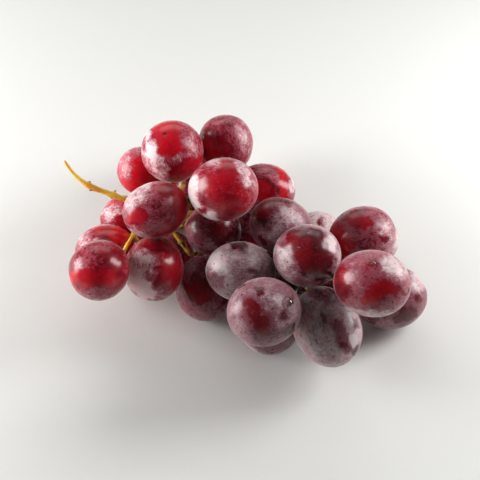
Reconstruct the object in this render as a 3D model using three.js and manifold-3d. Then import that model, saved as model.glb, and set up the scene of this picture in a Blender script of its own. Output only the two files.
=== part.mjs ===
import * as THREE from "three";
import { mergeVertices } from "three/addons/utils/BufferGeometryUtils.js";
import Module from "manifold-3d";

// A bunch of large red table grapes, as picked, lying on its side on a table.
// Millimetres, +Z up, +X from the cut stalk towards the tip of the bunch, +Y towards its back.
// The origin is on the table, under the middle of the bunch.

// Places below are measured as seen from the front, from above the table: mm across and up in the
// view, and mm near, towards the viewer.
const viewElevation = THREE.MathUtils.degToRad(50);
const viewDistance = 450;
const tableBelow = 32.3; // from the point that the view looks at down to the table

const berryGap = 0.35; // between two berries, and between a berry and the stem
const flatSpot = 0.6; // how deep a berry that carries weight is pressed flat on the table
const berrySides = 16;
const berryRings = [0, 9, 20, 38, 57, 76, 95, 115, 136, 158, 180]; // degrees from the stem end
const stemEndTaper = 0.05; // a berry is this much slimmer at its stem end
const dimpleDepth = 0.7; // the hollow round the stem end
const dimpleRadius = 2.4;

const stalkRadius = 1.05; // of the main stalk near its cut end
const stalkThinning = 0.4; // the part of it that is lost by the tip
const cutEndRadius = 0.45;
const drawnOutLength = 16; // how long the stalk takes to thicken from its dried-up cut end
const branchRadius = 0.9;
const stubRadius = 0.42;
const nodeSwelling = 0.4; // how much the stalk thickens where the stubs sit
const nodeLength = 2.2;
const pedicelRadius = 0.72;
const pedicelLead = 1.5; // how far a pedicel runs straight before its berry
const cushionRadius = 1.5; // the flared end that a berry sits on
const cushionLength = 1.3;

// The main stalk, from its cut end to its tip: across, up, near.
const stalkPlaces = [
  [-67.5, 30.5, -3],
  [-65.4, 27.2, -4],
  [-61.8, 23.4, -5],
  [-57.5, 20.6, -6],
  [-52, 18.5, -7],
  [-44.2, 15.6, -8],
  [-34, 12, -11],
  [-22, 11, -15],
  [-11, 4.5, -19],
  [0, -6, -15],
  [13, -8, -9],
  [25, -12, -2],
  [36, -16, 0],
  [42, -17, -1],
];

// Dry stubs at the two swollen nodes of the bare stalk, from its middle outwards.
const stubPlaces = [
  [[-57.8, 20.8, -6], [-57.9, 22.7, -6]],
  [[-57.8, 20.8, -6], [-57.6, 19, -6]],
  [[-48.7, 17.4, -7.4], [-47.9, 19.1, -7.4]],
  [[-48.7, 17.4, -7.4], [-49.6, 16, -7.4]],
];

// The side branches, from the main stalk outwards.
const branchPlaces = [
  [[-38, 13, -10], [-41, 6, -11], [-44.5, 0, -8]],
  [[-29, 12, -12], [-25, 17, -14], [-21.5, 21.5, -12]],
  [[-32, 12, -12], [-27, 4, -9], [-22.5, -2, -9], [-18.5, -7, -11]],
  [[-20, 12, -14], [-22, 8, -10], [-22.5, 5, -5]],
  [[-12, 5, -19], [-8, 12, -24], [-2, 16, -28]],
  [[1, -6, -14], [3, -10, -11], [5, -13, -9]],
  [[12, -7, -10], [10, -13, -7], [12, -18, 2]],
  [[18, -8, -12], [22, -4, -8], [24, 0, -8]],
  [[24, -12, -10], [26, -18, -5], [28, -22, -2]],
  [[32, -15, -8], [34, -9, -11], [37, -5, -13]],
  [[39, -16.5, -8], [38, -15, 0], [36.5, -14.5, 6]],
];

// Each berry that shows from the front: where its middle is seen, how near it stands, its width and its
// length, and which way its far end points: across, up and towards the viewer.
const shownBerries = [
  { across: -26.0, up: 34.0, near: -4, wide: 24.8, long: 24.8, far: [-0.2, 0.5, 0.9] },
  { across: -5.4, up: 37.4, near: -15, wide: 22.3, long: 22.6, far: [-0.1, 0.9, -0.1] },
  { across: -6.5, up: 19.5, near: 14, wide: 24.2, long: 27.7, far: [0.8, 0.1, 0.6] },
  { across: -37.7, up: 26.3, near: -23, wide: 20.0, long: 20.6, far: [-0.6, 0.7, -0.1] },
  { across: -32.4, up: 11.7, near: 7, wide: 21.3, long: 25.4, far: [-0.9, -0.3, 0.2] },
  { across: -43.5, up: 7.3, near: -28, wide: 21.0, long: 22.0, far: [-0.8, 0.3, -0.2] },
  { across: -51.6, up: -5.4, near: -9, wide: 24.0, long: 24.8, far: [-0.9, -0.2, 0] },
  { across: -54.0, up: -11.6, near: 17, wide: 22.8, long: 23.2, far: [-0.6, -0.5, 0.6] },
  { across: -33.1, up: -10.8, near: -1, wide: 23.2, long: 25.4, far: [-0.1, -0.9, 0.4] },
  { across: -10.4, up: 3.9, near: -7, wide: 20.6, long: 22.4, far: [0.8, -0.1, 0.5] },
  { across: 0.4, up: -12.1, near: 12, wide: 22.9, long: 26.7, far: [-0.9, 0.1, 0.3] },
  { across: 16.0, up: 5.2, near: -2, wide: 22.2, long: 26.4, far: [-0.8, 0.35, 0.5] },
  { across: 9.4, up: -27.7, near: 30, wide: 25.3, long: 28.4, far: [-0.75, -0.1, 0.65] },
  { across: 11.1, up: -31.0, near: 0, wide: 25.6, long: 26.2, far: [0.1, -0.8, 0.4] },
  { across: 25.8, up: -6.1, near: 17, wide: 23.9, long: 26.2, far: [0.75, -0.1, 0.65] },
  { across: 33.4, up: -33.2, near: 12, wide: 25.8, long: 31.0, far: [0.36, -0.9, 0.25] },
  { across: 46.8, up: 1.2, near: -5, wide: 24.2, long: 26.8, far: [0.8, 0.3, 0.3] },
  { across: 50.7, up: -16.6, near: 34, wide: 24.4, long: 28.2, far: [0.85, -0.15, 0.5] },
  { across: 57.6, up: -22.0, near: -8, wide: 25.4, long: 29.8, far: [0.95, 0, -0.2] },
  { across: 28.8, up: 0.3, near: -23, wide: 21.4, long: 22.2, far: [0.1, 0.7, -0.4] },
  { across: 9.3, up: 19.1, near: -18, wide: 21.9, long: 25.0, far: [0.95, -0.12, 0.2] },
  { across: -13.7, up: -18.5, near: -12, wide: 23.4, long: 26.2, far: [0.1, -0.9, 0.2] },
  { across: 0.6, up: 3.6, near: -17, wide: 21.0, long: 22.0, far: [0.6, 0.6, 0.5] },
];

// The berries at the back and underneath: their middles over the table and which way the far end points.
const hiddenBerries = [
  { x: -24, y: 49, z: 21, wide: 22.4, long: 23.6, far: [-0.7, 0.6, 0.3] },
  { x: -6, y: 61, z: 20, wide: 22.0, long: 23.4, far: [-0.2, 1, 0] },
  { x: -30, y: 12, z: 10, wide: 20.6, long: 21.6, far: [-0.5, 0.1, -0.9] },
  { x: 10, y: 42, z: 11, wide: 21.4, long: 22.4, far: [0.7, 0.5, -0.4] },
  { x: -19, y: 31, z: 27, wide: 20.4, long: 21.2, far: [-0.2, 1, 0] },
  { x: -12, y: 45, z: 10, wide: 21.2, long: 22.4, far: [-0.5, 0.6, -0.6] },
  { x: -33, y: 35, z: 10, wide: 21.0, long: 22.2, far: [-0.2, 0.6, -0.8] },
  { x: 46, y: 18, z: 11, wide: 22.0, long: 23.2, far: [0.7, 0.6, -0.4] },
  { x: 4, y: 1, z: 10, wide: 20.6, long: 21.8, far: [-0.9, 0, -0.5] },
  { x: 24, y: -7, z: 10, wide: 20.8, long: 21.8, far: [0.5, 0.3, -0.8] },
];

const across = new THREE.Vector3(1, 0, 0);
const upInView = new THREE.Vector3(0, Math.sin(viewElevation), Math.cos(viewElevation));
const towardsViewer = new THREE.Vector3(0, -Math.cos(viewElevation), Math.sin(viewElevation));
const viewCentre = new THREE.Vector3(0, 0, tableBelow);

function fromView(start, [acrossBy, upBy, nearBy]) {
  return start.clone()
    .addScaledVector(across, acrossBy)
    .addScaledVector(upInView, upBy)
    .addScaledVector(towardsViewer, nearBy);
}

// A nearer thing looks larger, so a place seen in the view lies closer to its middle line.
function seenAt([acrossBy, upBy, nearBy]) {
  const closer = (viewDistance - nearBy) / viewDistance;
  return fromView(viewCentre, [acrossBy * closer, upBy * closer, nearBy]);
}

function smoothCurve(points) {
  return new THREE.CatmullRomCurve3(points, false, "centripetal");
}
const stalk = smoothCurve(stalkPlaces.map(seenAt));
const stalkLength = stalk.getLength();

function nearestOf(points, place) {
  return points.reduce((best, point) => (point.distanceTo(place) < best.distanceTo(place) ? point : best));
}

// How far a berry reaches from its middle towards a plane that faces the given way.
function reach(berry, way) {
  const alongAxis = berry.axis.dot(way) ** 2;
  return Math.sqrt((berry.wide ** 2 * (1 - alongAxis) + berry.long ** 2 * alongAxis) / 4);
}

// Where a berry's pedicel starts to run straight, a little before the stem end.
function leadOf(berry) {
  return berry.middle.clone().addScaledVector(berry.axis, -berry.long / 2 - pedicelLead);
}

// The berries are pushed apart until none overlaps another, a pedicel, the stalk or the table. A shown berry
// mostly moves towards or away from the viewer and keeps its place in the view; a hidden one moves freely.
function settle(berries) {
  const rounds = 3000;
  const stalkPoints = stalk.getSpacedPoints(60);
  const straightUp = new THREE.Vector3(0, 0, 1);
  const way = new THREE.Vector3();
  const yields = (berry) => (berry.shown ? 0.2 : 1);
  const move = (berry, by) => {
    const inView = berry.shown ? 0.35 : 1;
    berry.middle.addScaledVector(by, inView).addScaledVector(towardsViewer, (1 - inView) * by.dot(towardsViewer));
  };
  const pushApart = (one, other, overlap) => {
    if (overlap <= 0) return;
    const share = yields(one) / (yields(one) + yields(other));
    move(other, way.clone().multiplyScalar(overlap * (1 - share)));
    move(one, way.clone().multiplyScalar(-overlap * share));
  };
  const pointFrom = (start, end) => {
    way.subVectors(end, start);
    const apart = way.length();
    way.normalize();
    return apart;
  };
  for (let round = 0; round < rounds; round += 1) {
    const drawnBack = round < rounds * 0.8;
    for (const berry of berries) {
      if (drawnBack && berry.shown) {
        const near = berry.middle.clone().sub(viewCentre).dot(towardsViewer);
        const wanted = near + 0.002 * (berry.near - near);
        berry.middle.lerp(seenAt([berry.across, berry.up, wanted]), 0.15);
      } else if (drawnBack) {
        berry.middle.lerp(berry.home, 0.01);
      }
      for (const other of berries) {
        if (other === berry) continue;
        const apart = pointFrom(berry.middle, other.middle);
        pushApart(berry, other, reach(berry, way) + reach(other, way) + berryGap - apart);
        const leadApart = pointFrom(other.middle, leadOf(berry));
        pushApart(other, berry, reach(other, way) + pedicelRadius + berryGap - leadApart);
      }
      for (const point of stalkPoints) {
        const apart = pointFrom(point, berry.middle);
        const overlap = reach(berry, way) + stalkRadius + berryGap - apart;
        if (overlap > 0) move(berry, way.multiplyScalar(overlap));
      }
      const sunk = reach(berry, straightUp) - flatSpot - berry.middle.z;
      if (sunk > 0 && berry.shown) berry.middle.addScaledVector(towardsViewer, sunk / towardsViewer.z);
      if (sunk > 0 && !berry.shown) berry.middle.z += sunk;
    }
  }
}

function placedBerries() {
  const shown = shownBerries.map((berry) => ({
    ...berry,
    shown: true,
    middle: seenAt([berry.across, berry.up, berry.near]),
    axis: fromView(new THREE.Vector3(), berry.far).normalize(),
  }));
  const hidden = hiddenBerries.map((berry) => ({
    ...berry,
    shown: false,
    home: new THREE.Vector3(berry.x, berry.y, berry.z),
    middle: new THREE.Vector3(berry.x, berry.y, berry.z),
    axis: new THREE.Vector3(...berry.far).normalize(),
  }));
  const berries = [...shown, ...hidden];
  settle(berries);
  return berries;
}

const wasm = await Module();
wasm.setup();

// A closed three.js geometry as a solid: shared vertices merged and collapsed triangles dropped.
function toSolid(geometry) {
  const bare = geometry.clone();
  bare.deleteAttribute("normal");
  bare.deleteAttribute("uv");
  const merged = mergeVertices(bare, 1e-4);
  const index = merged.index.array;
  const corners = [];
  for (let i = 0; i < index.length; i += 3) {
    const [a, b, c] = index.slice(i, i + 3);
    if (a !== b && b !== c && c !== a) corners.push(a, b, c);
  }
  return new wasm.Manifold(
    new wasm.Mesh({
      numProp: 3,
      vertProperties: new Float32Array(merged.attributes.position.array),
      triVerts: new Uint32Array(corners),
    }),
  );
}

function toGeometry(solid) {
  const mesh = solid.getMesh();
  const geometry = new THREE.BufferGeometry();
  geometry.setAttribute("position", new THREE.BufferAttribute(new Float32Array(mesh.vertProperties), 3));
  geometry.setIndex(new THREE.BufferAttribute(new Uint32Array(mesh.triVerts), 1));
  geometry.computeVertexNormals();
  return geometry;
}

// One berry round its own middle: an egg turned about its axis, with a hollow at the stem end, and cut flat
// where it rests on the table.
function berryShape(berry) {
  const profile = berryRings.map((degrees) => {
    const angle = THREE.MathUtils.degToRad(degrees);
    const slimmer = 1 - (stemEndTaper * (1 + Math.cos(angle))) / 2;
    const radius = (berry.wide / 2) * Math.sin(angle) * slimmer;
    const hollow = degrees < 90 ? dimpleDepth * Math.exp(-((radius / dimpleRadius) ** 2)) : 0;
    return new THREE.Vector2(radius, (-berry.long / 2) * Math.cos(angle) + hollow);
  });
  profile[0].x = 0;
  profile[profile.length - 1].x = 0;
  const turned = new THREE.LatheGeometry(profile, berrySides);
  turned.applyQuaternion(new THREE.Quaternion().setFromUnitVectors(new THREE.Vector3(0, 1, 0), berry.axis));
  const tableAt = -berry.middle.z;
  turned.computeBoundingBox();
  if (turned.boundingBox.min.z > tableAt) return turned;
  const roomAbove = new THREE.BoxGeometry(2 * berry.long, 2 * berry.long, 2 * berry.long);
  roomAbove.translate(0, 0, tableAt + berry.long);
  return toGeometry(toSolid(turned).intersect(toSolid(roomAbove)));
}

// A limb that is round all along: a turned spindle, bent along a line of points.
function limb(points, radiusAt, sides, steps) {
  const curve = smoothCurve(points);
  const length = curve.getLength();
  const frames = curve.computeFrenetFrames(steps);
  const profile = [new THREE.Vector2(0, 0)];
  for (let step = 0; step <= steps; step += 1) {
    profile.push(new THREE.Vector2(radiusAt((step / steps) * length, length), step));
  }
  profile.push(new THREE.Vector2(0, steps));
  const spindle = new THREE.LatheGeometry(profile, sides);
  const place = spindle.attributes.position;
  for (let i = 0; i < place.count; i += 1) {
    const step = Math.round(place.getY(i));
    const at = curve.getPointAt(step / steps);
    at.addScaledVector(frames.normals[step], place.getX(i));
    at.addScaledVector(frames.binormals[step], -place.getZ(i));
    place.setXYZ(i, at.x, at.y, at.z);
  }
  return toSolid(spindle);
}

// Bends a line of points clear of the berries and the table, with some room round it. Its start stays put.
function bendClear(points, berries, room, endIsFree) {
  const offset = new THREE.Vector3();
  for (let round = 0; round < 300; round += 1) {
    for (let i = 1; i < points.length; i += 1) {
      const isEnd = i === points.length - 1;
      if (isEnd && !endIsFree) continue;
      if (!isEnd) points[i].lerp(points[i - 1].clone().lerp(points[i + 1], 0.5), 0.3);
      for (const berry of berries) {
        offset.subVectors(points[i], berry.middle);
        const along = offset.dot(berry.axis);
        const outward = Math.sqrt(Math.max(offset.lengthSq() - along * along, 0));
        const depth = Math.hypot(along / (berry.long / 2 + room), outward / (berry.wide / 2 + room));
        if (depth < 1) points[i].copy(berry.middle).addScaledVector(offset, 1 / depth);
      }
      points[i].z = Math.max(points[i].z, room);
    }
  }
  return points;
}

// The stalk with its stubs and side branches, and a pedicel with a flared end for each berry, in one piece.
function stemSolid(berries) {
  const stalkPoints = stalk.getSpacedPoints(Math.round(stalkLength));
  const swelling = (distance, length) => Math.exp(-((distance / length) ** 2));
  const nodes = stubPlaces.map(([root]) => stalkPoints.indexOf(nearestOf(stalkPoints, seenAt(root))));
  const stalkRadiusAt = (along) => {
    const body = cutEndRadius + (stalkRadius - cutEndRadius) * Math.min(1, along / drawnOutLength);
    const swollen = Math.max(...nodes.map((node) => nodeSwelling * swelling(along - node, nodeLength)));
    return body * (1 - (stalkThinning * along) / stalkLength) + swollen;
  };
  let stem = limb(stalkPoints, stalkRadiusAt, 8, 60);
  for (const places of stubPlaces) stem = stem.add(limb(places.map(seenAt), () => stubRadius, 5, 2));

  const forks = stalk.getSpacedPoints(12).slice(4);
  for (const places of branchPlaces) {
    const line = smoothCurve(places.map(seenAt)).getSpacedPoints(5);
    line[0] = nearestOf(stalkPoints, line[0]);
    bendClear(line, berries, branchRadius + berryGap, true);
    forks.push(line.at(-1));
    stem = stem.add(limb(line, () => branchRadius, 6, 5));
  }
  for (const berry of berries) {
    const lead = leadOf(berry);
    const stemEnd = berry.middle.clone().addScaledVector(berry.axis, dimpleDepth - berryGap - berry.long / 2);
    const fork = nearestOf(forks, lead);
    const line = [];
    for (let k = 0; k <= 10; k += 1) line.push(fork.clone().lerp(lead, k / 10));
    bendClear(line, berries, pedicelRadius + berryGap, false);
    const flare = cushionRadius - pedicelRadius;
    const radiusAt = (along, length) => pedicelRadius + flare * swelling(length - along, cushionLength);
    stem = stem.add(limb([...line, stemEnd], radiusAt, 6, 9));
  }
  // Without the specks that the union leaves between two nearly equal surfaces.
  return stem.decompose().reduce((largest, body) => (body.volume() > largest.volume() ? body : largest));
}

const skinRed = new THREE.MeshStandardMaterial({ color: 0xa3162a, roughness: 0.42, metalness: 0 });
const skinWine = new THREE.MeshStandardMaterial({ color: 0x7a3540, roughness: 0.5, metalness: 0 });
const stemYellow = new THREE.MeshStandardMaterial({ color: 0xd0a032, roughness: 0.6, metalness: 0 });
const wineFrom = -4; // berries further than this towards the tip are wine coloured, the others red

function buildBunch() {
  const bunch = new THREE.Group();
  bunch.name = "grape_bunch";
  const berries = placedBerries();
  berries.forEach((berry, index) => {
    const mesh = new THREE.Mesh(berryShape(berry), berry.middle.x < wineFrom ? skinRed : skinWine);
    mesh.name = "berry_" + String(index + 1).padStart(2, "0");
    mesh.position.copy(berry.middle);
    bunch.add(mesh);
  });
  const stem = new THREE.Mesh(toGeometry(stemSolid(berries)), stemYellow);
  stem.name = "stem";
  bunch.add(stem);

  const middle = new THREE.Box3().setFromObject(bunch).getCenter(new THREE.Vector3());
  middle.z = 0;
  for (const mesh of bunch.children) mesh.position.sub(middle);
  return bunch;
}

const bunch = buildBunch();
export default bunch;
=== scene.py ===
import math
import random

import bmesh
import bpy
import numpy as np
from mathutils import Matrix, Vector, noise
from mathutils.bvhtree import BVHTree


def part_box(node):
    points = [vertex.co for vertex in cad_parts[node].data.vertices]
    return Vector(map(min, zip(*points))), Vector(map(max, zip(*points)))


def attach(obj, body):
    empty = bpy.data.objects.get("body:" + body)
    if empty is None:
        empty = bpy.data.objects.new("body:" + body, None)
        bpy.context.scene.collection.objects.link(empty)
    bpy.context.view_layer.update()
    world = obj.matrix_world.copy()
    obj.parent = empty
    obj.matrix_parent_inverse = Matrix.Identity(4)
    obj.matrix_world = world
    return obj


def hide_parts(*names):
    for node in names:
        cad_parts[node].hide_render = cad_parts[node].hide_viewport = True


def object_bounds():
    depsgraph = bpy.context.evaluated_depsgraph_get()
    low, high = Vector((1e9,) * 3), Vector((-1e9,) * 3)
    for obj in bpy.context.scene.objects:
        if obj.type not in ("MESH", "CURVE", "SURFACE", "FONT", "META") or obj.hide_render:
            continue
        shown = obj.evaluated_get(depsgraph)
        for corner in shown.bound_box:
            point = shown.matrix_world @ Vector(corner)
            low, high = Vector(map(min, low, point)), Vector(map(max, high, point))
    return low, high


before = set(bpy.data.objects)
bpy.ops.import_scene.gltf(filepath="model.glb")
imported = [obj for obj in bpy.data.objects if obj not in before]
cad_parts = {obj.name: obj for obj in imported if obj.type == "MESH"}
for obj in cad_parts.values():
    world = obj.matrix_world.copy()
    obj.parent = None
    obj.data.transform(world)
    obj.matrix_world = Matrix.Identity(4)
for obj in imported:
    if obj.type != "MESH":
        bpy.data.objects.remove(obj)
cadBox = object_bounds()

mm = 0.001
noise.seed_set(4)  # so that the edges of the strokes are the same in each run


def linear(hexColour):
    # sRGB hex to the linear colour that a shader takes
    parts = [int(hexColour[i:i + 2], 16) / 255 for i in (1, 3, 5)]
    return tuple(p / 12.92 if p <= 0.04045 else ((p + 0.055) / 1.055) ** 2.4 for p in parts) + (1.0,)


def addNode(tree, kind, settings=None, links=None):
    # one node with its settings and what is linked to its sockets
    node = tree.nodes.new(kind)
    for name, value in (settings or {}).items():
        if isinstance(name, str) and hasattr(node, name):
            setattr(node, name, value)
        else:
            node.inputs[name].default_value = value
    for socket, source in (links or {}).items():
        tree.links.new(source, node.inputs[socket])
    return node


def newMaterial(name):
    material = bpy.data.materials.new(name)
    material.use_nodes = True
    material.node_tree.nodes.clear()
    return material, material.node_tree


def newPiece(name, places, faces, material):
    mesh = bpy.data.meshes.new(name)
    mesh.from_pydata([tuple(p) for p in places], [], faces)
    mesh.polygons.foreach_set("use_smooth", [True] * len(mesh.polygons))
    mesh.materials.append(material)
    mesh.update()
    piece = bpy.data.objects.new(name, mesh)
    bpy.context.scene.collection.objects.link(piece)
    return piece


def paint(piece, layer, values):
    # one number per point, which the material reads
    attribute = piece.data.attributes.new(layer, "FLOAT", "POINT")
    attribute.data.foreach_set("value", np.asarray(values, dtype=np.float32))


# the view: mm and degrees, in the frame of the CAD
view = {
    "elevation": 50,
    "distance": 450,
    "middle": (-2.3, -10.4, 32.3),
    "frameWidth": 184.8,  # what the picture spans at that distance
    "pixels": 480,
    "sensor": 36,
    "nearest": 0.01,  # m, the closest that the camera shows
}
tilt = math.radians(view["elevation"])
rightward = np.array([1.0, 0.0, 0.0])
upward = np.array([0.0, math.sin(tilt), math.cos(tilt)])
towardsViewer = np.array([0.0, -math.cos(tilt), math.sin(tilt)])
viewMiddle = np.array(view["middle"])


def seenAt(places):
    # where points, in mm, fall in the picture, in pixels from its top left
    offset = places - viewMiddle
    size = view["pixels"] / view["frameWidth"] / (1 - offset @ towardsViewer / view["distance"])
    half = view["pixels"] / 2
    return np.stack([half + offset @ rightward * size, half - offset @ upward * size], axis=1)


def placeSeen(across, up, near):
    # the other way round: a place in mm, from where it is seen and how near it is
    closer = 1 - near / view["distance"]
    return viewMiddle + (across * rightward + up * upward) * closer + near * towardsViewer


def setCamera():
    data = bpy.data.cameras.new("camera")
    data.sensor_width = view["sensor"]
    data.lens = view["sensor"] * view["distance"] / view["frameWidth"]
    data.clip_start = view["nearest"]
    camera = bpy.data.objects.new("camera", data)
    camera.location = Vector(viewMiddle + towardsViewer * view["distance"]) * mm
    camera.rotation_euler = (math.radians(90 - view["elevation"]), 0, 0)
    bpy.context.scene.collection.objects.link(camera)
    bpy.context.scene.camera = camera
    print("camera set")


setCamera()

skin = {
    "bright": "#de0820",  # bare skin where light comes through the flesh
    "ripe": "#aa0420",
    "deep": "#5c0312",
    "wine": "#560a14",  # bare skin of a wine coloured berry
    "wineDeep": "#2c050a",
    "thinBloomOnRed": "#b04e62",  # a touched, half see-through film of bloom
    "thinBloomOnWine": "#845462",
    "thickBloomOnRed": "#eadadb",
    "thickBloomOnWine": "#cfc0c0",
    "scar": "#3a0c08",
    "sheen": "#f6ecea",
    "patchSize": 6.0,  # mm, of the wipes and rubs in the bloom
    "patchNoise": {"Detail": 5, "Roughness": 0.6, "Distortion": 0.8},
    "mottleSize": 1.2,
    "mottleNoise": {"Detail": 6, "Roughness": 0.72, "Distortion": 0.6},
    "scratchSize": 0.5,
    "scratchDetail": 4,
    "scratchStretch": 0.14,  # a scratch is this much of its length wide
    "poreSpacing": 2.6,
    "poreSize": (0.08, 0.22),  # in spacings: where a pore is whole, and where it has ended
    # how much each of them changes the bloom, and what they come to where they change nothing
    "mottleShare": 1.3,
    "scratchShare": 0.7,
    "poreShare": -0.35,
    "evenLevel": -1.5,
    "unevenOnRed": 1.35,
    "unevenOnWine": 0.65,
    # how thick the bloom is where each thing starts and is complete
    "thinFrom": (0.1, 0.55),
    "thickFrom": (0.55, 1.2),
    "dullFrom": (0.1, 0.9),
    "thinCover": 0.75,
    "thickCover": 0.88,
    "streaksFrom": (0.5, 0.74),  # of the scratches, which leave faint streaks of bloom on bare skin
    "streakCover": 0.27,
    "roughness": (0.2, 0.42),  # bare, and under the bloom
    "toneFromMottle": 0.9,
    "toneFromPatches": 1.2,
    # from which tone and painted glow to which the bare colours go over into each other
    "ripeFrom": (0.75, 1.25),
    "brightFrom": (1.15, 1.9),
    "wineFrom": (0.85, 1.65),
    "bumpHeight": 0.03,
    "bumpStrength": 0.35,
    "flesh": 7.0,  # mm that red light goes inside it
    "finish": {"IOR": 1.45, "Subsurface Weight": 0.65, "Subsurface Radius": (1.0, 0.06, 0.05),
               "Sheen Weight": 0.35, "Sheen Roughness": 0.3},
}


def waxedGrapeSkin():
    # Thin grape skin over clear flesh: red light spreads inside it. Its wax bloom is a matt pale film
    # that is rubbed off in patches and scratches, so gloss and deep colour come and go over each berry.
    # Its colour also holds a painted glow of light through the flesh, and painted highlights and painted
    # shade where the bloom is made thicker or thinner for them.
    material, tree = newMaterial("waxedGrapeSkin")
    own = addNode(tree, "ShaderNodeAttribute", {"attribute_name": "own"}).outputs["Vector"]
    wine = addNode(tree, "ShaderNodeAttribute", {"attribute_name": "wine"}).outputs["Fac"]
    bloom = addNode(tree, "ShaderNodeAttribute", {"attribute_name": "bloom"}).outputs["Fac"]
    # the painted glow: how brightly light coming through the flesh lights the bare skin, painted into its
    # colour
    glow = addNode(tree, "ShaderNodeAttribute", {"attribute_name": "toneAndGlow"}).outputs["Fac"]
    scar = addNode(tree, "ShaderNodeAttribute", {"attribute_name": "scar"}).outputs["Fac"]

    # wipes, mottles, scratches along the berry's axis, and pores
    patches = addNode(tree, "ShaderNodeTexNoise", {"Scale": 1 / skin["patchSize"], **skin["patchNoise"]},
                      {"Vector": own}).outputs["Fac"]
    mottle = addNode(tree, "ShaderNodeTexNoise", {"Scale": 1 / skin["mottleSize"], **skin["mottleNoise"]},
                     {"Vector": own}).outputs["Fac"]
    stretched = addNode(tree, "ShaderNodeMapping", {"Scale": (1, 1, skin["scratchStretch"])},
                        {"Vector": own})
    scratches = addNode(tree, "ShaderNodeTexNoise",
                        {"Scale": 1 / skin["scratchSize"], "Detail": skin["scratchDetail"]},
                        {"Vector": stretched.outputs["Vector"]}).outputs["Fac"]
    apart = addNode(tree, "ShaderNodeTexVoronoi", {"Scale": 1 / skin["poreSpacing"]}, {"Vector": own})
    pores = addNode(tree, "ShaderNodeMapRange",
                    {"From Min": skin["poreSize"][0], "From Max": skin["poreSize"][1],
                     "To Min": 1, "To Max": 0}, {"Value": apart.outputs["Distance"]}).outputs["Result"]

    # the painted bloom, with its painted highlights and painted shade, broken up by all of them,
    # and less so where it is whole on a wine coloured berry
    uneven = addNode(tree, "ShaderNodeMath",
                     {"operation": "MULTIPLY_ADD", 1: skin["mottleShare"], 2: skin["evenLevel"]},
                     {0: mottle}).outputs[0]
    uneven = addNode(tree, "ShaderNodeMath", {"operation": "MULTIPLY_ADD", 1: skin["scratchShare"]},
                     {0: scratches, 2: uneven}).outputs[0]
    uneven = addNode(tree, "ShaderNodeMath", {"operation": "ADD"}, {0: patches, 1: uneven}).outputs[0]
    amount = addNode(tree, "ShaderNodeMapRange",
                     {"To Min": skin["unevenOnRed"], "To Max": skin["unevenOnWine"]},
                     {"Value": wine}).outputs["Result"]
    film = addNode(tree, "ShaderNodeMath", {"operation": "MULTIPLY_ADD"},
                   {0: uneven, 1: amount, 2: bloom}).outputs[0]
    film = addNode(tree, "ShaderNodeMath", {"operation": "MULTIPLY_ADD", 1: skin["poreShare"]},
                   {0: pores, 2: film}).outputs[0]

    # the bare colours: random tone from patches and mottle, plus the painted glow that turns the skin
    # bright
    toneAndGlow = addNode(tree, "ShaderNodeMath", {"operation": "MULTIPLY_ADD", 1: skin["toneFromPatches"]},
                   {0: patches, 2: glow}).outputs[0]
    toneAndGlow = addNode(tree, "ShaderNodeMath", {"operation": "MULTIPLY_ADD", 1: skin["toneFromMottle"]},
                   {0: mottle, 2: toneAndGlow}).outputs[0]
    ripeness = addNode(tree, "ShaderNodeMapRange",
                       {"From Min": skin["ripeFrom"][0], "From Max": skin["ripeFrom"][1]},
                       {"Value": toneAndGlow})
    ripe = addNode(tree, "ShaderNodeMix",
                   {"data_type": "RGBA", 6: linear(skin["deep"]), 7: linear(skin["ripe"])},
                   {0: ripeness.outputs["Result"]}).outputs[2]
    lightness = addNode(tree, "ShaderNodeMapRange",
                        {"From Min": skin["brightFrom"][0], "From Max": skin["brightFrom"][1]},
                        {"Value": toneAndGlow})
    redSkin = addNode(tree, "ShaderNodeMix", {"data_type": "RGBA", 7: linear(skin["bright"])},
                      {0: lightness.outputs["Result"], 6: ripe}).outputs[2]
    winyness = addNode(tree, "ShaderNodeMapRange",
                       {"From Min": skin["wineFrom"][0], "From Max": skin["wineFrom"][1]},
                       {"Value": toneAndGlow})
    wineSkin = addNode(tree, "ShaderNodeMix",
                       {"data_type": "RGBA", 6: linear(skin["wineDeep"]), 7: linear(skin["wine"])},
                       {0: winyness.outputs["Result"]}).outputs[2]
    bare = addNode(tree, "ShaderNodeMix", {"data_type": "RGBA"},
                   {0: wine, 6: redSkin, 7: wineSkin}).outputs[2]

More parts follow.
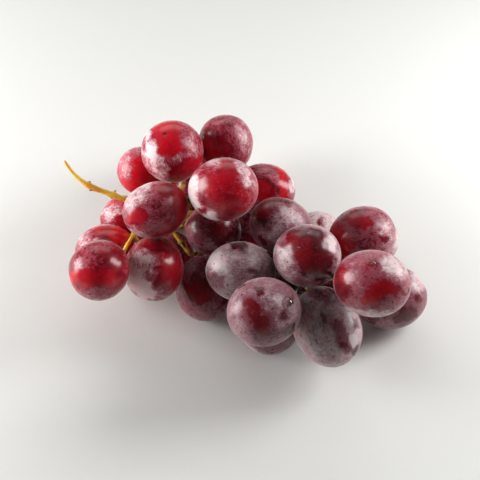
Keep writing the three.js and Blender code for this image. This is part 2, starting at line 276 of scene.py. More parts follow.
    # the bloom over them: first thin, with faint streaks of it on bare skin, then thick
    thinBloom = addNode(tree, "ShaderNodeMix",
                        {"data_type": "RGBA", 6: linear(skin["thinBloomOnRed"]),
                         7: linear(skin["thinBloomOnWine"])},
                        {0: wine}).outputs[2]
    thickBloom = addNode(tree, "ShaderNodeMix",
                         {"data_type": "RGBA", 6: linear(skin["thickBloomOnRed"]),
                          7: linear(skin["thickBloomOnWine"])},
                         {0: wine}).outputs[2]
    thin = addNode(tree, "ShaderNodeMapRange",
                   {"interpolation_type": "SMOOTHSTEP", "From Min": skin["thinFrom"][0],
                    "From Max": skin["thinFrom"][1], "To Max": skin["thinCover"]}, {"Value": film})
    streaks = addNode(tree, "ShaderNodeMapRange",
                      {"From Min": skin["streaksFrom"][0], "From Max": skin["streaksFrom"][1],
                       "To Max": skin["streakCover"]}, {"Value": scratches})
    thin = addNode(tree, "ShaderNodeMath", {"operation": "MAXIMUM"},
                   {0: thin.outputs["Result"], 1: streaks.outputs["Result"]})
    thick = addNode(tree, "ShaderNodeMapRange",
                    {"interpolation_type": "SMOOTHSTEP", "From Min": skin["thickFrom"][0],
                     "From Max": skin["thickFrom"][1], "To Max": skin["thickCover"]}, {"Value": film})
    colour = addNode(tree, "ShaderNodeMix", {"data_type": "RGBA"},
                     {0: thin.outputs[0], 6: bare, 7: thinBloom}).outputs[2]
    colour = addNode(tree, "ShaderNodeMix", {"data_type": "RGBA"},
                     {0: thick.outputs["Result"], 6: colour, 7: thickBloom}).outputs[2]
    colour = addNode(tree, "ShaderNodeMix", {"data_type": "RGBA", 7: linear(skin["scar"])},
                     {0: scar, 6: colour}).outputs[2]

    dull = addNode(tree, "ShaderNodeMapRange",
                   {"From Min": skin["dullFrom"][0], "From Max": skin["dullFrom"][1],
                    "To Min": skin["roughness"][0], "To Max": skin["roughness"][1]}, {"Value": film})
    relief = addNode(tree, "ShaderNodeBump",
                     {"Strength": skin["bumpStrength"], "Distance": skin["bumpHeight"] * mm},
                     {"Height": film})
    shader = addNode(tree, "ShaderNodeBsdfPrincipled",
                     {**skin["finish"], "Subsurface Scale": skin["flesh"] * mm,
                      "Sheen Tint": linear(skin["sheen"])},
                     {"Base Color": colour, "Roughness": dull.outputs["Result"],
                      "Normal": relief.outputs["Normal"]})
    addNode(tree, "ShaderNodeOutputMaterial", None, {"Surface": shader.outputs["BSDF"]})
    return material


grapeSkin = waxedGrapeSkin()

# Width and length in mm, which way the far end points (across, up, towards the viewer), how wine
# coloured, how much bloom, and what handling did to the bloom and how the flesh glows (a painted glow),
# by the places in the picture where that shows: strokes of x and y to x and y, radius in pixels, and how
# much more or less. Some strokes are painted highlights, thicker pale bloom where a lamp shines, and some
# are painted shade, thinner bloom where a neighbour or a drop shades the skin.
seenBerries = {
    "01": {"wide": 24.8, "long": 24.8, "far": (-0.2, 0.5, 0.9), "wine": 0.0, "bloom": 0.32,
           "strokes": [(166, 127, 168, 144, 13, -0.7), (158, 118, 172, 116, 4, 0.4),
                       # painted highlights: the thicker bloom of the left band (149, 135) and the right
                       # band (187, 130), where the lamps shine
                       (168, 160, 180, 160, 7, 0.35), (149, 135, 151, 152, 6, 0.75),
                       (152, 155, 163, 174, 8, 0.55), (187, 130, 194, 158, 9, 0.25),
                       (180, 174, 198, 166, 9, -0.9)],
           "glow": [(168, 130, 168, 144, 14, 0.5), (182, 175, 198, 166, 9, 0.2)]},
    "02": {"wide": 22.3, "long": 22.6, "far": (-0.1, 0.9, -0.1), "wine": 0.2, "bloom": 0.4,
           # painted highlight: the thicker bloom of the right band (241, 128), where the right lamp shines
           "strokes": [(210, 150, 218, 155, 12, -0.8), (241, 128, 247, 148, 8, 0.25),
                       (210, 130, 224, 140, 10, -0.1)],
           "glow": [(208, 150, 216, 155, 10, 0.5)]},
    "03": {"wide": 24.2, "long": 27.7, "far": (0.8, 0.1, 0.6), "wine": 0.05, "bloom": 0.45,
           "strokes": [(214, 188, 232, 196, 17, -0.4), (226, 165, 228, 175, 8, -0.7),
                       (192, 184, 193, 205, 8, 0.85), (197, 212, 214, 219, 6, 0.9),
                       (212, 161, 216, 163, 6, 0.4), (240, 165, 246, 172, 6, 0.5),
                       # painted highlight: the small spot of thicker bloom at (247, 181), where the right
                       # lamp shines
                       (247, 181, 249, 184, 4, 0.5), (201, 211, 205, 213, 3, -1.4),
                       (222, 216, 236, 216, 8, -0.8)],
           "glow": [(222, 185, 232, 196, 18, 0.3)]},
    "04": {"wide": 20.0, "long": 20.6, "far": (-0.6, 0.7, -0.1), "wine": 0.0, "bloom": 0.12,
           # painted highlight: the thicker bloom at the top left (123, 164), where the left lamp shines
           "strokes": [(123, 164, 128, 173, 7, 0.55), (128, 152, 136, 150, 7, 0.5),
                       (140, 182, 148, 188, 10, -0.5)],
           "glow": [(138, 170, 142, 184, 20, 0.7)]},
    "05": {"wide": 21.3, "long": 25.4, "far": (-0.9, -0.3, 0.2), "wine": 0.1, "bloom": 0.42,
           "strokes": [(133, 200, 142, 194, 10, 0.5), (146, 185, 158, 183, 5, 0.4),
                       (132, 231, 152, 239, 3, 0.4), (131, 220, 141, 214, 5.5, -0.7),
                       (184, 192, 186, 212, 10, -0.9), (160, 188, 168, 189, 7, -0.6),
                       (166, 231, 174, 229, 7, -0.7)],
           "glow": [(134, 217, 139, 217, 7, 0.5), (184, 192, 186, 212, 10, 0.4)]},
    "06": {"wide": 21.0, "long": 22.0, "far": (-0.8, 0.3, -0.2), "wine": 0.0, "bloom": 0.42,
           "strokes": [(106, 212, 118, 209, 6, 0.4), (117, 202, 122, 202, 5, -0.4),
                       (122, 222, 126, 228, 7, -0.7)],
           "glow": [(117, 202, 122, 202, 8, 0.5)]},
    "07": {"wide": 24.0, "long": 24.8, "far": (-0.9, -0.2, 0.0), "wine": 0.05, "bloom": 0.45,
           "strokes": [(98, 225, 112, 227, 4, -0.5), (80, 238, 92, 244, 8, 0.4),
                       (86, 228, 92, 224, 4, 0.4), (98, 230, 114, 232, 6, -0.9),
                       (119, 236, 126, 238, 8, -1.2)],
           "glow": [(98, 230, 112, 232, 6, 0.3), (118, 236, 126, 240, 8, 1.0)]},
    "08": {"wide": 22.8, "long": 23.2, "far": (-0.6, -0.5, 0.6), "wine": 0.1, "bloom": 0.2,
           # painted highlight: the spot of thicker bloom at (79, 261), where the left lamp shines
           "strokes": [(79, 261, 80, 265, 4, 0.5), (90, 248, 108, 248, 10, 0.15),
                       (84, 291, 108, 295, 5, 0.35), (76, 277, 116, 278, 8, -0.5),
                       # painted shade: less bloom on the right side (112, 256), to darken it where the
                       # right lamp shines on it
                       (102, 247, 104, 249, 3, -0.5), (112, 256, 118, 264, 7, -0.6)],
           "glow": [(76, 277, 108, 278, 8, 0.45)]},
    "09": {"wide": 23.2, "long": 25.4, "far": (-0.1, -0.9, 0.4), "wine": 0.15, "bloom": 0.4,
           "strokes": [(131, 256, 144, 258, 7, 0.35), (146, 260, 154, 270, 7, 0.35),
                       (131, 274, 144, 292, 10, 0.9), (148, 294, 160, 293, 4, 0.4),
                       (170, 256, 175, 282, 9, -0.45), (150, 241, 166, 243, 8, -0.9),
                       (159, 272, 162, 280, 6, -0.5)],
           "glow": [(170, 262, 175, 282, 9, 0.3)]},
    "10": {"wide": 20.6, "long": 22.4, "far": (0.8, -0.1, 0.5), "wine": 0.6, "bloom": 0.42,
           "strokes": [(214, 232, 226, 236, 8, -0.4), (196, 234, 203, 242, 8, 0.15)]},
    "11": {"wide": 22.9, "long": 26.7, "far": (-0.9, 0.1, 0.3), "wine": 1.0, "bloom": 0.82,
           "strokes": [(233, 244, 243, 245, 4, -0.9), (241, 251, 245, 251, 3, -0.6),
                       (212, 280, 216, 284, 7, -0.5), (252, 272, 254, 271, 3, -0.5),
                       # painted highlight: the thicker bloom at the left (210, 256), where the left lamp
                       # shines
                       (210, 256, 218, 264, 9, 0.3)],
           "glow": [(210, 280, 216, 284, 8, 0.6)]},
    "12": {"wide": 22.2, "long": 26.4, "far": (-0.8, 0.35, 0.5), "wine": 0.8, "bloom": 0.6,
           "strokes": [(259, 212, 264, 206, 9, -0.6), (272, 200, 290, 199, 6, -0.5),
                       # painted highlight: the thicker bloom at the upper right (288, 207), where the
                       # right lamp shines
                       (288, 207, 296, 216, 8, 0.2), (270, 231, 284, 217, 8, 0.25),
                       (264, 225, 266, 227, 5, -0.4), (262, 238, 264, 242, 2, -0.9)],
           "glow": [(259, 212, 264, 206, 9, 0.4)]},
    "13": {"wide": 25.3, "long": 28.4, "far": (-0.75, -0.1, 0.65), "wine": 0.85, "bloom": 0.72,
           "strokes": [(250, 310, 264, 322, 10, -0.55), (259, 291, 261, 293, 3, -1.0),
                       # painted shade: less bloom at (290.5, 300), a dark crescent on the right of the big
                       # drop
                       (290.5, 300, 291.5, 306, 2, -0.35), (242, 285, 244, 285, 2.5, -0.6),
                       (260, 335, 276, 337, 8, -0.35), (282, 316, 284, 318, 3, -0.5),
                       (287, 331, 291, 328, 4, -0.7), (250, 302, 254, 304, 5, -0.4)],
           "glow": [(250, 312, 262, 322, 12, 0.9)]},
    "14": {"wide": 25.6, "long": 26.2, "far": (0.1, -0.8, 0.4), "wine": 0.9, "bloom": 0.55},
    "15": {"wide": 23.9, "long": 26.2, "far": (0.75, -0.1, 0.65), "wine": 0.8, "bloom": 0.8,
           "strokes": [(299, 243, 315, 260, 14, -1.1), (316, 240, 322, 256, 9, -1.1),
                       (300, 268, 312, 272, 6, -0.25), (322, 279, 328, 275, 5, -1.0),
                       # painted highlights: thicker bloom at the right (328, 238) and at the left (283,
                       # 249), where the lamps shine
                       (328, 238, 331, 248, 5, 0.5), (283, 249, 286, 254, 5, 0.3),
                       (296, 284, 304, 284, 5, -0.3)],
           "glow": [(294, 243, 300, 252, 10, 0.7), (308, 262, 314, 264, 10, 0.4)]},
    "16": {"wide": 25.8, "long": 31.0, "far": (0.36, -0.9, 0.25), "wine": 1.0, "bloom": 0.88,
           # painted shade: less bloom along the top (318, 290), where the berry above shades it
           "strokes": [(318, 290, 344, 294, 8, -0.6), (338, 328, 344, 340, 7, -0.4),
                       (344, 346, 348, 348, 4, -0.6), (356, 351, 359, 348, 4, -0.9),
                       (322, 318, 324, 320, 3, -0.4), (353, 322, 355, 324, 3, -0.6),
                       # painted highlight: the pale streak of thicker bloom at (352, 340), where the right
                       # lamp shines
                       (352, 340, 356, 345, 4, 0.6), (324, 334, 330, 342, 8, 0.1)],
           "glow": [(338, 330, 344, 346, 8, 0.6)]},
    "17": {"wide": 24.2, "long": 26.8, "far": (0.8, 0.3, 0.3), "wine": 0.45, "bloom": 0.55,
           "strokes": [(352, 220, 364, 222, 7, -0.6), (336, 234, 344, 246, 9, -0.9),
                       # painted highlight: the thicker bloom at the right (384, 224), where the right lamp
                       # shines
                       (360, 240, 372, 242, 9, -0.15), (384, 224, 388, 236, 8, 0.25),
                       (378, 224, 379, 226, 3, -0.6), (382, 238, 384, 239, 2, -0.9)],
           "glow": [(336, 234, 344, 246, 9, 0.9), (352, 220, 364, 222, 7, 0.3)]},
    "18": {"wide": 24.4, "long": 28.2, "far": (0.85, -0.15, 0.5), "wine": 0.5, "bloom": 0.55,
           "strokes": [(372, 296, 384, 288, 9, -0.55), (368, 262, 374, 262, 6, -0.4),
                       # painted shade: less bloom on the left side (338, 272), where the berry to its
                       # upper left shades it
                       (338, 272, 343, 292, 9, -0.55), (392, 291, 396, 290, 4, -0.5),
                       # painted highlight: the thicker bloom at the upper right (388, 262), where the
                       # right lamp shines
                       (388, 262, 400, 270, 8, 0.45), (403, 294, 405, 293, 1.6, -0.9),
                       (350, 312, 392, 314, 4, 0.4)],
           "glow": [(372, 296, 384, 288, 10, 0.7), (350, 270, 366, 280, 12, 0.4)]},
    "19": {"wide": 25.4, "long": 29.8, "far": (0.95, 0.0, -0.2), "wine": 0.8, "bloom": 0.55,
           # painted highlight: the thicker bloom at the right (414, 278), where the right lamp shines
           "strokes": [(414, 278, 420, 286, 6, 0.4), (416, 297, 418, 299, 3, -0.5),
                       (400, 318, 412, 312, 6, -0.7), (378, 322, 390, 324, 5, 0.1),
                       (370, 316, 374, 320, 4, -0.8)]},
    "20": {"wide": 21.4, "long": 22.2, "far": (0.1, 0.7, -0.4), "wine": 0.6, "bloom": 1.0,
           "strokes": [(319, 221, 321, 222, 3, -0.9)]},
    "21": {"wide": 21.9, "long": 25.0, "far": (0.95, -0.12, 0.2), "wine": 0.15, "bloom": 0.45,
           "strokes": [(262, 186, 266, 196, 9, -0.7), (281, 168, 285, 194, 4, -0.9),
                       # painted highlight: the pale thicker bloom at the right (288, 172), where the right
                       # lamp shines
                       (288, 172, 291, 186, 5, 0.5), (266, 170, 274, 174, 6, 0.1)],
           "glow": [(262, 188, 266, 196, 8, 0.3), (281, 168, 285, 194, 4, 0.5)]},
    "22": {"wide": 23.4, "long": 26.2, "far": (0.1, -0.9, 0.2), "wine": 0.7, "bloom": 0.4,
           "strokes": [(196, 288, 202, 294, 9, -0.6), (188, 310, 200, 314, 8, 0.15)],
           "glow": [(196, 288, 202, 294, 9, 0.5)]},
    "23": {"wide": 21.0, "long": 22.0, "far": (0.6, 0.6, 0.5), "wine": 0.6, "bloom": 0.4},
}
# those at the back and underneath, with the far end's way in the frame of the CAD
hiddenBerries = {
    "24": {"wide": 22.4, "long": 23.6, "far": (-0.7, 0.6, 0.3), "wine": 0.1, "bloom": 0.45},
    "25": {"wide": 22.0, "long": 23.4, "far": (-0.2, 1.0, 0.0), "wine": 0.2, "bloom": 0.5},
    "26": {"wide": 20.6, "long": 21.6, "far": (-0.5, 0.1, -0.9), "wine": 0.2, "bloom": 0.4},
    "27": {"wide": 21.4, "long": 22.4, "far": (0.7, 0.5, -0.4), "wine": 0.5, "bloom": 0.6},
    "28": {"wide": 20.4, "long": 21.2, "far": (-0.2, 1.0, 0.0), "wine": 0.1, "bloom": 0.3},
    "29": {"wide": 21.2, "long": 22.4, "far": (-0.5, 0.6, -0.6), "wine": 0.3, "bloom": 0.5},
    "30": {"wide": 21.0, "long": 22.2, "far": (-0.2, 0.6, -0.8), "wine": 0.1, "bloom": 0.45},
    "31": {"wide": 22.0, "long": 23.2, "far": (0.7, 0.6, -0.4), "wine": 0.6, "bloom": 0.65},
    "32": {"wide": 20.6, "long": 21.8, "far": (-0.9, 0.0, -0.5), "wine": 0.9, "bloom": 0.3},
    "33": {"wide": 20.8, "long": 21.8, "far": (0.5, 0.3, -0.8), "wine": 0.9, "bloom": 0.3},
}

berryForm = {
    "sides": 96,
    "rings": 84,
    "crowding": 0.3,  # how much closer the rings lie at the two ends
    "stemEndTaper": 0.05,
    "dimpleDepth": 0.7,
    "dimpleRadius": 2.4,
    "scarDepth": 0.25,  # the dry dot at the far end
    "scarRadius": 0.8,
    "unevenness": 0.2,  # mm, of the slow lumps in a grown berry
    "lumpSize": 9.0,
    "patternReach": 50,  # mm, so that no two berries have the same pattern
    "aside": (0.3, 0.5, 0.8),  # a way that no berry's axis points
    "onTable": 0.01,  # mm, a solid that comes this low is pressed flat
    "raggedness": 5.0,  # how many pixels the edges of the strokes wander, and over how many mm
    "raggedSize": 3.0,
    # the edge of a stroke or smear: how sudden it is, and how much is gone at its radius
    "edgePower": 4,
    "edgeFade": 0.7,
    # rubs and smears where the picture doesn't show a berry: radius in radians, and how much more or less
    "backSmears": 7,
    "smearSize": (0.25, 0.6),
    "smearAmount": (-0.8, 0.5),
    "unseenFrom": 0.6,  # they fade out towards the side that the picture shows
    "unseenSlope": 2,
}


def berryPlaces(berry, axis, draw):
    # an egg turned about its axis, a little uneven, round its own middle, in mm; and the same upright
    form = berryForm
    side = np.cross(axis, form["aside"])
    side /= np.linalg.norm(side)
    other = np.cross(axis, side)
    shift = Vector([draw.uniform(-form["patternReach"], form["patternReach"]) for _ in range(3)])
    places, upright, scar = [], [], []
    for ring in range(form["rings"] + 1):
        even = ring / form["rings"]
        angle = math.pi * even - form["crowding"] * math.sin(2 * math.pi * even)
        slimmer = 1 - form["stemEndTaper"] * (1 + math.cos(angle)) / 2
        radius = berry["wide"] / 2 * math.sin(angle) * slimmer
        along = -berry["long"] / 2 * math.cos(angle)
        atEnd = ring in (0, form["rings"])
        stemHalf = ring < form["rings"] / 2
        dry = 0.0
        if stemHalf:
            along += form["dimpleDepth"] * math.exp(-(radius / form["dimpleRadius"]) ** 2)
        else:
            dry = math.exp(-(radius / form["scarRadius"]) ** 2)
            along -= form["scarDepth"] * dry
        for step in range(1 if atEnd else form["sides"]):
            turn = 2 * math.pi * step / form["sides"]
            spread = 0 if atEnd else radius
            flat = (math.cos(turn) * spread, math.sin(turn) * spread, along)
            place = side * flat[0] + other * flat[1] + axis * along
            lump = noise.noise(Vector(place) / form["lumpSize"] + shift)
            places.append(place * (1 + lump * form["unevenness"] / (berry["wide"] / 2)))
            upright.append(Vector(flat) + shift)
            scar.append(dry)
    return np.array(places), np.array(upright), scar


def berryFaces():
    sides, rings = berryForm["sides"], berryForm["rings"]
    faces = []
    for step in range(sides):
        following = (step + 1) % sides
        faces.append((0, 1 + following, 1 + step))
        for ring in range(rings - 2):
            start = 1 + ring * sides
            beyond = start + sides
            faces.append((start + step, start + following, beyond + following, beyond + step))
        last = 1 + (rings - 2) * sides
        faces.append((last + step, last + following, last + sides))
    return faces


def setInPlace(places, node):
    # sets the berry where its CAD solid is, inside the model's box, and presses it flat on the table
    low, high = (np.array(corner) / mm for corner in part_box(node))
    middle = (low + high) / 2 - (places.max(axis=0) + places.min(axis=0)) / 2
    if low[2] < berryForm["onTable"]:
        middle[2] = high[2] - places[:, 2].max()
    allLow, allHigh = (np.array(corner) / mm for corner in cadBox)
    return np.clip(places + middle, allLow, allHigh), middle


def softEdge(away):
    # 1 inside a stroke or smear, fading at its radius
    return np.exp(-away ** berryForm["edgePower"] * berryForm["edgeFade"])


def bloomAndGlow(places, middle, berry, draw):
    # how much bloom each point carries, with the painted highlights and painted shade among the strokes,
    # and how brightly its flesh glows, which is painted glow
    form = berryForm
    outward = places - middle
    outward /= np.linalg.norm(outward, axis=1)[:, None]
    facing = outward @ towardsViewer
    ragged = [noise.noise_vector(Vector(place) / form["raggedSize"]) for place in places]
    picture = seenAt(places) + np.array(ragged)[:, :2] * form["raggedness"]
    layers = []
    for kind in ("strokes", "glow"):
        layer = np.zeros(len(places))
        for x, y, endX, endY, radius, amount in berry.get(kind, []):
            start, run = np.array((x, y)), np.array((endX - x, endY - y))
            share = np.clip((picture - start) @ run / (run @ run), 0, 1)
            away = np.linalg.norm(picture - start - share[:, None] * run, axis=1) / radius
            layer += np.where(facing > 0, amount * softEdge(away), 0)
        layers.append(layer)
    bloom = layers[0] + berry["bloom"]
    unseen = 1.0
    if "strokes" in berry:
        unseen = np.clip(form["unseenFrom"] - facing * form["unseenSlope"], 0, 1)
    for _ in range(form["backSmears"]):
        way = np.array([draw.gauss(0, 1) for _ in range(3)])
        way /= np.linalg.norm(way)
        away = np.arccos(np.clip(outward @ way, -1, 1)) / draw.uniform(*form["smearSize"])
        bloom += unseen * draw.uniform(*form["smearAmount"]) * softEdge(away)
    return bloom, layers[1]


def growBerries():
    faces = berryFaces()
    for number, berry in {**seenBerries, **hiddenBerries}.items():
        node = "berry_" + number
        draw = random.Random(int(number))
        far = berry["far"]
        if number in seenBerries:
            far = far[0] * rightward + far[1] * upward + far[2] * towardsViewer
        axis = np.array(far, dtype=float)
        axis /= np.linalg.norm(axis)
        places, upright, scar = berryPlaces(berry, axis, draw)
        places, middle = setInPlace(places, node)
        bloom, glow = bloomAndGlow(places, middle, berry, draw)
        piece = newPiece("grape_" + number, places * mm, faces, grapeSkin)
        # the bloom also holds the strokes' painted highlights and painted shade; the glow is painted glow
        paint(piece, "bloom", bloom)
        paint(piece, "toneAndGlow", glow)
        paint(piece, "wine", np.full(len(places), berry["wine"]))
        paint(piece, "scar", scar)
        own = piece.data.attributes.new("own", "FLOAT_VECTOR", "POINT")
        own.data.foreach_set("vector", np.asarray(upright, dtype=np.float32).ravel())
        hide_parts(node)
        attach(piece, "root")
    print("berries grown")


growBerries()

stalk = {
    "golden": "#ffd65c",
    "olive": "#f2be4c",
    "dry": "#4a2a14",
    "broadSize": 5.0,  # mm, of the turn from golden to olive
    "broadDetail": 4,
    "oliveFrom": (0.42, 0.62),
    "fleckSize": 0.7,
    "fleckNoise": {"Detail": 5, "Roughness": 0.7},
    "flecksFrom": (0.57, 0.72),
    "fleckCover": 0.7,
    "bumpHeight": 0.05,
    "bumpStrength": 0.5,
    "lightDepth": 2.5,  # mm that light goes inside it
    "finish": {"Roughness": 0.48, "IOR": 1.45,
               "Subsurface Weight": 1.0, "Subsurface Radius": (1.0, 0.8, 0.35)},
    # painted shade: inside the bunch the wood is painted darker, towards the dry colour: where across the
    # view, in mm, and how much there
    "shadeAt": (-46, -34, -4, 12),
    "brownAndShade": (0, 0.62, 0.7, 0.92),
    "voxel": 0.25,
    "smoothRounds": 2,
    "smoothness": 0.5,
    "fuller": 0.08,  # mm, what the smoothing takes
    "lumps": 0.16,
    "lumpSize": 1.5,
    # the dry ends: across, up and near in the view, how far they are dry in mm, and how dark
    "dryEnds": [(-67.5, 30.5, -3, 5.0, 0.3), (-57.9, 22.9, -6, 0.9, 1.0), (-57.6, 18.8, -6, 0.9, 1.0),
                (-47.9, 19.3, -7.4, 0.9, 1.0), (-49.6, 15.8, -7.4, 0.9, 1.0)],
    "dryFade": 1.3,  # in those lengths, where the last of it ends
}


def greenWood():
    # Green wood of a fresh stalk: satin and a little clear, so that light comes through its thin parts,
    # golden yellow to olive, with brown corky flecks and dark dry tips, and painted shade that darkens
    # it inside the bunch.
    material, tree = newMaterial("greenWood")
    at = addNode(tree, "ShaderNodeTexCoord").outputs["Object"]
    broad = addNode(tree, "ShaderNodeTexNoise",
                    {"Scale": 1 / (stalk["broadSize"] * mm), "Detail": stalk["broadDetail"]},
                    {"Vector": at}).outputs["Fac"]
    fine = addNode(tree, "ShaderNodeTexNoise",
                   {"Scale": 1 / (stalk["fleckSize"] * mm), **stalk["fleckNoise"]},
                   {"Vector": at}).outputs["Fac"]
    turning = addNode(tree, "ShaderNodeMapRange",
                      {"From Min": stalk["oliveFrom"][0], "From Max": stalk["oliveFrom"][1]},
                      {"Value": broad})
    body = addNode(tree, "ShaderNodeMix",
                   {"data_type": "RGBA", 6: linear(stalk["golden"]), 7: linear(stalk["olive"])},
                   {0: turning.outputs["Result"]}).outputs[2]
    # the dry attribute holds the dry tips and the painted shade inside the bunch
    dry = addNode(tree, "ShaderNodeAttribute", {"attribute_name": "dry"}).outputs["Fac"]
    fleck = addNode(tree, "ShaderNodeMapRange",
                    {"From Min": stalk["flecksFrom"][0], "From Max": stalk["flecksFrom"][1],
                     "To Max": stalk["fleckCover"]}, {"Value": fine})
    brownAndShade = addNode(tree, "ShaderNodeMath", {"operation": "MAXIMUM"},
                    {0: fleck.outputs["Result"], 1: dry})
    colour = addNode(tree, "ShaderNodeMix", {"data_type": "RGBA", 7: linear(stalk["dry"])},
                     {0: brownAndShade.outputs[0], 6: body}).outputs[2]
    relief = addNode(tree, "ShaderNodeBump",
                     {"Strength": stalk["bumpStrength"], "Distance": stalk["bumpHeight"] * mm},
                     {"Height": fine})
    shader = addNode(tree, "ShaderNodeBsdfPrincipled",
                     {**stalk["finish"], "Subsurface Scale": stalk["lightDepth"] * mm},
                     {"Base Color": colour, "Normal": relief.outputs["Normal"]})
    addNode(tree, "ShaderNodeOutputMaterial", None, {"Surface": shader.outputs["BSDF"]})
    return material


def growStalk():
    # the CAD stem's own form, rounded, with the small lumps of grown wood
    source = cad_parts["stem"]
    copy = source.copy()
    copy.data = source.data.copy()
    bpy.context.scene.collection.objects.link(copy)
    remesh = copy.modifiers.new("remesh", "REMESH")
    remesh.mode = "VOXEL"
    remesh.voxel_size = stalk["voxel"] * mm
    smooth = copy.modifiers.new("smooth", "SMOOTH")
    smooth.iterations = stalk["smoothRounds"]
    smooth.factor = stalk["smoothness"]
    evaluated = copy.evaluated_get(bpy.context.evaluated_depsgraph_get())
    mesh = bpy.data.meshes.new_from_object(evaluated)
    bpy.data.objects.remove(copy)
    count = len(mesh.vertices)
    places = np.empty(count * 3)
    normals = np.empty(count * 3)
    mesh.vertices.foreach_get("co", places)
    mesh.vertex_normals.foreach_get("vector", normals)
    places = places.reshape(-1, 3)
    normals = normals.reshape(-1, 3)
    lumps = np.array([noise.noise(Vector(p) / (stalk["lumpSize"] * mm)) for p in places])
    places = places + normals * ((lumps * stalk["lumps"] + stalk["fuller"]) * mm)[:, None]
    mesh.vertices.foreach_set("co", places.ravel())
    mesh.polygons.foreach_set("use_smooth", [True] * len(mesh.polygons))
    mesh.materials.clear()
    mesh.materials.append(greenWood())
    mesh.update()
    piece = bpy.data.objects.new("stalk", mesh)
    bpy.context.scene.collection.objects.link(piece)
    # painted shade: the stalk is darkened towards the dry colour where it runs inside the bunch
    dry = np.interp(places[:, 0] / mm - viewMiddle[0], stalk["shadeAt"], stalk["brownAndShade"]) * (1 + lumps)
    for across, up, near, length, dark in stalk["dryEnds"]:
        away = np.linalg.norm(places / mm - placeSeen(across, up, near), axis=1)
        dry = np.maximum(dry, dark * np.clip(stalk["dryFade"] - away / length, 0, 1))
    paint(piece, "dry", dry)
    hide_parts("stem")
    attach(piece, "root")
    print("stalk grown:", len(mesh.polygons), "faces")


growStalk()

drops = {
    "sides": 28,
    "rings": 9,
    "sunk": 0.05,  # mm that the underside lies below the skin
    "steepness": 0.5,
    "feltFrom": 3.0,  # mm above the skin, from where the skin under a drop is felt for
    "weld": 0.001,
    "finish": {"Base Color": (1, 1, 1, 1), "Roughness": 0.04, "IOR": 1.333, "Transmission Weight": 1.0,
               "Coat Weight": 1.0, "Coat Roughness": 0.06, "Coat IOR": 1.6},
    # the berry it hangs on, x and y in the picture, width and height in mm
    "places": [("13", 287.5, 303, 5.2, 2.3), ("13", 261.5, 297, 1.5, 0.6), ("13", 261.3, 315, 0.9, 0.35),
               ("18", 373.7, 263.8, 1.6, 0.65), ("15", 298.3, 248.7, 1.5, 0.5),
               ("15", 317.5, 247.8, 0.8, 0.35)],
}


def clearWater():
    # Still water: clear and colourless, with small sharp lights and a dark rim.
    material, tree = newMaterial("clearWater")
    shader = addNode(tree, "ShaderNodeBsdfPrincipled", drops["finish"])
    addNode(tree, "ShaderNodeOutputMaterial", None, {"Surface": shader.outputs["BSDF"]})
    return material


def settleDrops():
    # each drop follows the skin under it
    places, faces = [], []
    sides, rings = drops["sides"], drops["rings"]
    for number, x, y, wide, high in drops["places"]:
        mesh = bpy.data.objects["grape_" + number].data
        skinPlaces = np.array([tuple(point.co) for point in mesh.vertices]) / mm
        tree = BVHTree.FromPolygons([tuple(p) for p in skinPlaces],
                                    [tuple(face.vertices) for face in mesh.polygons])
        facing = (skinPlaces - skinPlaces.mean(axis=0)) @ towardsViewer
        apart = np.where(facing > 0, np.linalg.norm(seenAt(skinPlaces) - (x, y), axis=1), np.inf)
        under, normal, _, _ = tree.find_nearest(Vector(skinPlaces[apart.argmin()]))
        side = normal.cross(Vector((0, 0, 1))).normalized()
        other = normal.cross(side)
        first = len(places)
        for top in (True, False):
            for ring in range(rings + 1):
                share = ring / rings
                for step in range(sides if ring else 1):
                    turn = 2 * math.pi * step / sides
                    out = (side * math.cos(turn) + other * math.sin(turn)) * share * wide / 2
                    hit = tree.ray_cast(under + out + normal * drops["feltFrom"], -normal)[0]
                    rise = high * (1 - share ** 2) ** drops["steepness"] if top else 0
                    places.append(hit + normal * (rise - drops["sunk"]))
        each = 1 + rings * sides
        for start, flip in ((first, False), (first + each, True)):
            for step in range(sides):
                following = (step + 1) % sides
                fan = [(start, start + 1 + step, start + 1 + following)]
                for ring in range(rings - 1):
                    low = start + 1 + ring * sides
                    outer = low + sides
                    fan.append((low + step, outer + step, outer + following, low + following))
                faces.extend(tuple(reversed(face)) if flip else face for face in fan)
    piece = newPiece("water_drops", [tuple(p * mm) for p in places], faces, clearWater())
    # the upper and the lower skin of a drop meet at its rim
    shell = bmesh.new()
    shell.from_mesh(piece.data)
    bmesh.ops.remove_doubles(shell, verts=shell.verts, dist=drops["weld"] * mm)
    shell.to_mesh(piece.data)
    shell.free()
    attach(piece, "root")
    print("drops settled:", len(drops["places"]))


settleDrops()

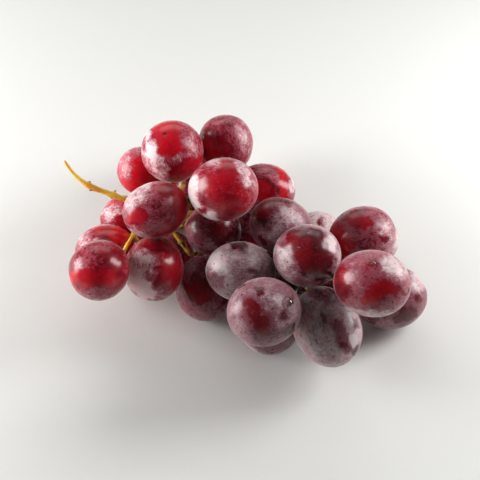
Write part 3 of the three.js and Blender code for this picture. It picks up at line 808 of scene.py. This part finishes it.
studio = {
    "floor": "#e8e8e4",
    "floorRoughness": 0.9,
    "floorHalf": 3.0,  # m from its middle to its sides
    "room": 0.26,  # how bright the walls are, and how dark it is behind the viewer
    "roomBehindViewer": 0.05,
    "darkFrom": (0.35, 0.9),  # where the dark starts and is complete: 0 is beside the viewer, 1 behind
    # place, what it looks at, width and height in mm, watts
    "left": ((-420, 20, 145), (-20, 0, 30), (240, 240), 2.5),
    "right": ((300, 55, 185), (20, 0, 30), (140, 280), 1.25),
    "back": ((-60, 1150, 800), (0, 0, 30), (1500, 700), 5.0),
}


def softLight(name):
    place, target, size, power = studio[name]
    data = bpy.data.lights.new(name, "AREA")
    data.shape = "RECTANGLE"
    data.size, data.size_y = size[0] * mm, size[1] * mm
    data.energy = power
    light = bpy.data.objects.new(name, data)
    light.location = Vector(place) * mm
    light.rotation_euler = (Vector(target) - Vector(place)).to_track_quat("-Z", "Y").to_euler()
    light.visible_camera = False
    bpy.context.scene.collection.objects.link(light)


def setStudio():
    # Matt paper: pale and even, so that it only takes the soft shadow of the bunch.
    material, tree = newMaterial("paperFloor")
    shader = addNode(tree, "ShaderNodeBsdfPrincipled",
                     {"Base Color": linear(studio["floor"]), "Roughness": studio["floorRoughness"]})
    addNode(tree, "ShaderNodeOutputMaterial", None, {"Surface": shader.outputs["BSDF"]})
    half = studio["floorHalf"]
    floor = newPiece("floor", [(-half, -half, 0), (half, -half, 0), (half, half, 0), (-half, half, 0)],
                     [(0, 1, 2, 3)], material)
    world = bpy.data.worlds.new("studio")
    world.use_nodes = True
    way = addNode(world.node_tree, "ShaderNodeTexCoord").outputs["Generated"]
    behindViewer = addNode(world.node_tree, "ShaderNodeVectorMath",
                           {"operation": "DOT_PRODUCT", 1: tuple(towardsViewer)},
                           {0: way}).outputs["Value"]
    strength = addNode(world.node_tree, "ShaderNodeMapRange",
                       {"interpolation_type": "SMOOTHSTEP", "From Min": studio["darkFrom"][0],
                        "From Max": studio["darkFrom"][1], "To Min": studio["room"],
                        "To Max": studio["roomBehindViewer"]}, {"Value": behindViewer}).outputs["Result"]
    background = world.node_tree.nodes["Background"]
    background.inputs["Color"].default_value = (1, 1, 1, 1)
    world.node_tree.links.new(strength, background.inputs["Strength"])
    bpy.context.scene.world = world
    for name in ("left", "right", "back"):
        softLight(name)
    bpy.context.scene.view_settings.view_transform = "Standard"
    print("studio lit")


setStudio()
